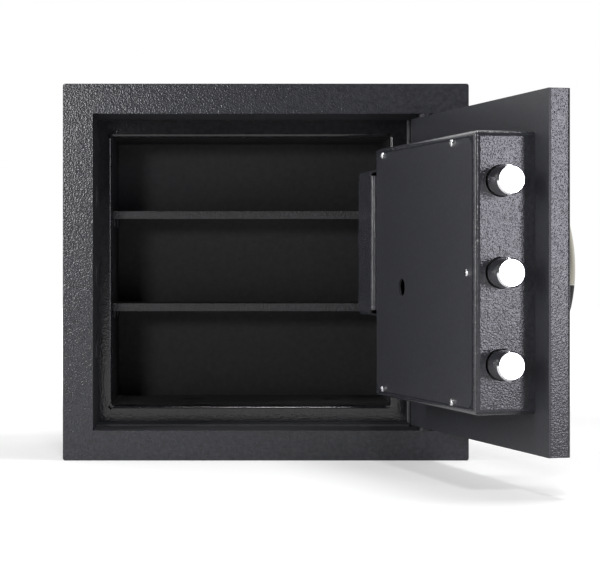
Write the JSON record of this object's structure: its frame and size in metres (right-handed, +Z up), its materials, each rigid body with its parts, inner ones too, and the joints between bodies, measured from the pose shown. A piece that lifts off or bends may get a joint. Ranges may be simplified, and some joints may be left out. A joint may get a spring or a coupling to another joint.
{
  "type": "wall safe",
  "caption": "Steel wall safe with shelves, a right-hinged door standing open, three round sliding bolts behind a cover, a lever and a keypad lock.",
  "frame": {"origin": "middle of the base, on the surface it stands on", "axes": "+X right as seen from the front, +Y from the face into the safe, +Z up"},
  "size_m": [0.4658, 0.5513, 0.377],
  "materials": {
    "textured_coat": "anthracite textured powder coat",
    "smooth_coat": "anthracite fine powder coat",
    "filling": "cast mineral filling",
    "carpet": "black needle felt",
    "bright_steel": "nickel-plated steel",
    "black_steel": "black-oxide steel",
    "bronze": "sintered bronze",
    "zinc_plate": "zinc-plated steel",
    "satin_nickel": "satin nickel",
    "black_plastic": "black moulded plastic",
    "battery_wrap": "plain wrapped cells",
    "key_rubber": "black silicone rubber"
  },
  "bodies": {
    "safe_body": {"outer_wrap": "textured_coat", "face_frame": "textured_coat", "back_plate": "textured_coat", "inner_liner": "smooth_coat", "wall_filling": "filling", "hinge_stile": "smooth_coat", "shelf_upper": "smooth_coat", "shelf_lower": "smooth_coat", "shelf_brackets": "smooth_coat", "floor_carpet": "carpet", "hinge_blocks": "smooth_coat", "hinge_pins": "black_steel", "hinge_washers": "black_steel"},
    "door": {"door_pan": "textured_coat", "door_back_plate": "smooth_coat", "door_filling": "filling", "hard_plate": "zinc_plate", "pivot_blocks": "smooth_coat", "pivot_bushes": "bronze", "boltwork_cover": "textured_coat", "cover_panel": "smooth_coat", "panel_screws": "bright_steel", "battery_box": "textured_coat", "battery_box_screws": "bright_steel", "battery_holder": "black_plastic", "batteries": "battery_wrap", "battery_lead": "black_plastic", "bolt_guide": "zinc_plate", "guide_screws": "bright_steel", "lock_body": "zinc_plate", "lock_screws": "bright_steel", "keypad_lead": "black_plastic", "lever_rose": "satin_nickel", "keypad_base": "black_plastic", "keypad_housing": "satin_nickel", "keypad_battery_cover": "black_plastic"},
    "bolts": {"bolt_upper": "bright_steel", "bolt_middle": "bright_steel", "bolt_lower": "bright_steel", "bolt_bar": "zinc_plate", "bar_screws": "bright_steel", "bolt_link": "zinc_plate", "lock_tab": "zinc_plate"},
    "handle": {"lever": "satin_nickel", "shaft": "bright_steel", "crank": "zinc_plate", "crank_clip": "bright_steel"},
    "plunger": {"lock_plunger": "bright_steel"},
    "key_1_body": {"key_1": "key_rubber"},
    "key_2_body": {"key_2": "key_rubber"},
    "key_3_body": {"key_3": "key_rubber"},
    "key_4_body": {"key_4": "key_rubber"},
    "key_5_body": {"key_5": "key_rubber"},
    "key_6_body": {"key_6": "key_rubber"},
    "key_7_body": {"key_7": "key_rubber"},
    "key_8_body": {"key_8": "key_rubber"},
    "key_9_body": {"key_9": "key_rubber"},
    "key_10_body": {"key_10": "key_rubber"},
    "key_11_body": {"key_11": "key_rubber"},
    "key_12_body": {"key_12": "key_rubber"}
  },
  "joints": [
    {"name": "door_swing", "type": "hinge", "parent": "safe_body", "child": "door", "pos_m": [0.16, -0.1065, 0.1885], "axis": [0, 0, 1], "range_deg": [-104, 4]},
    {"name": "handle_turn", "type": "hinge", "parent": "door", "child": "handle", "pos_m": [0.19263, -0.28491, 0.1885], "axis": [0.9703, 0.2419, 0], "range_deg": [0, 70]},
    {"name": "bolt_throw", "type": "slide", "parent": "door", "child": "bolts", "axis": [0.2419, -0.9703, 0], "range_m": [0, 0.022]},
    {"name": "lock_release", "type": "slide", "parent": "door", "child": "plunger", "axis": [0, 0, 1], "range_m": [0, 0.009]},
    {"name": "key_1_press", "type": "slide", "parent": "door", "child": "key_1_body", "axis": [-0.9703, -0.2419, 0], "range_m": [0, 0.0015], "stiffness_N_per_m": 400},
    {"name": "key_2_press", "type": "slide", "parent": "door", "child": "key_2_body", "axis": [-0.9703, -0.2419, 0], "range_m": [0, 0.0015], "stiffness_N_per_m": 400},
    {"name": "key_3_press", "type": "slide", "parent": "door", "child": "key_3_body", "axis": [-0.9703, -0.2419, 0], "range_m": [0, 0.0015], "stiffness_N_per_m": 400},
    {"name": "key_4_press", "type": "slide", "parent": "door", "child": "key_4_body", "axis": [-0.9703, -0.2419, 0], "range_m": [0, 0.0015], "stiffness_N_per_m": 400},
    {"name": "key_5_press", "type": "slide", "parent": "door", "child": "key_5_body", "axis": [-0.9703, -0.2419, 0], "range_m": [0, 0.0015], "stiffness_N_per_m": 400},
    {"name": "key_6_press", "type": "slide", "parent": "door", "child": "key_6_body", "axis": [-0.9703, -0.2419, 0], "range_m": [0, 0.0015], "stiffness_N_per_m": 400},
    {"name": "key_7_press", "type": "slide", "parent": "door", "child": "key_7_body", "axis": [-0.9703, -0.2419, 0], "range_m": [0, 0.0015], "stiffness_N_per_m": 400},
    {"name": "key_8_press", "type": "slide", "parent": "door", "child": "key_8_body", "axis": [-0.9703, -0.2419, 0], "range_m": [0, 0.0015], "stiffness_N_per_m": 400},
    {"name": "key_9_press", "type": "slide", "parent": "door", "child": "key_9_body", "axis": [-0.9703, -0.2419, 0], "range_m": [0, 0.0015], "stiffness_N_per_m": 400},
    {"name": "key_10_press", "type": "slide", "parent": "door", "child": "key_10_body", "axis": [-0.9703, -0.2419, 0], "range_m": [0, 0.0015], "stiffness_N_per_m": 400},
    {"name": "key_11_press", "type": "slide", "parent": "door", "child": "key_11_body", "axis": [-0.9703, -0.2419, 0], "range_m": [0, 0.0015], "stiffness_N_per_m": 400},
    {"name": "key_12_press", "type": "slide", "parent": "door", "child": "key_12_body", "axis": [-0.9703, -0.2419, 0], "range_m": [0, 0.0015], "stiffness_N_per_m": 400}
  ],
  "couplings": [
    {"joint": "bolt_throw", "follows": "handle_turn", "m_per_rad": 0.018007}
  ]
}
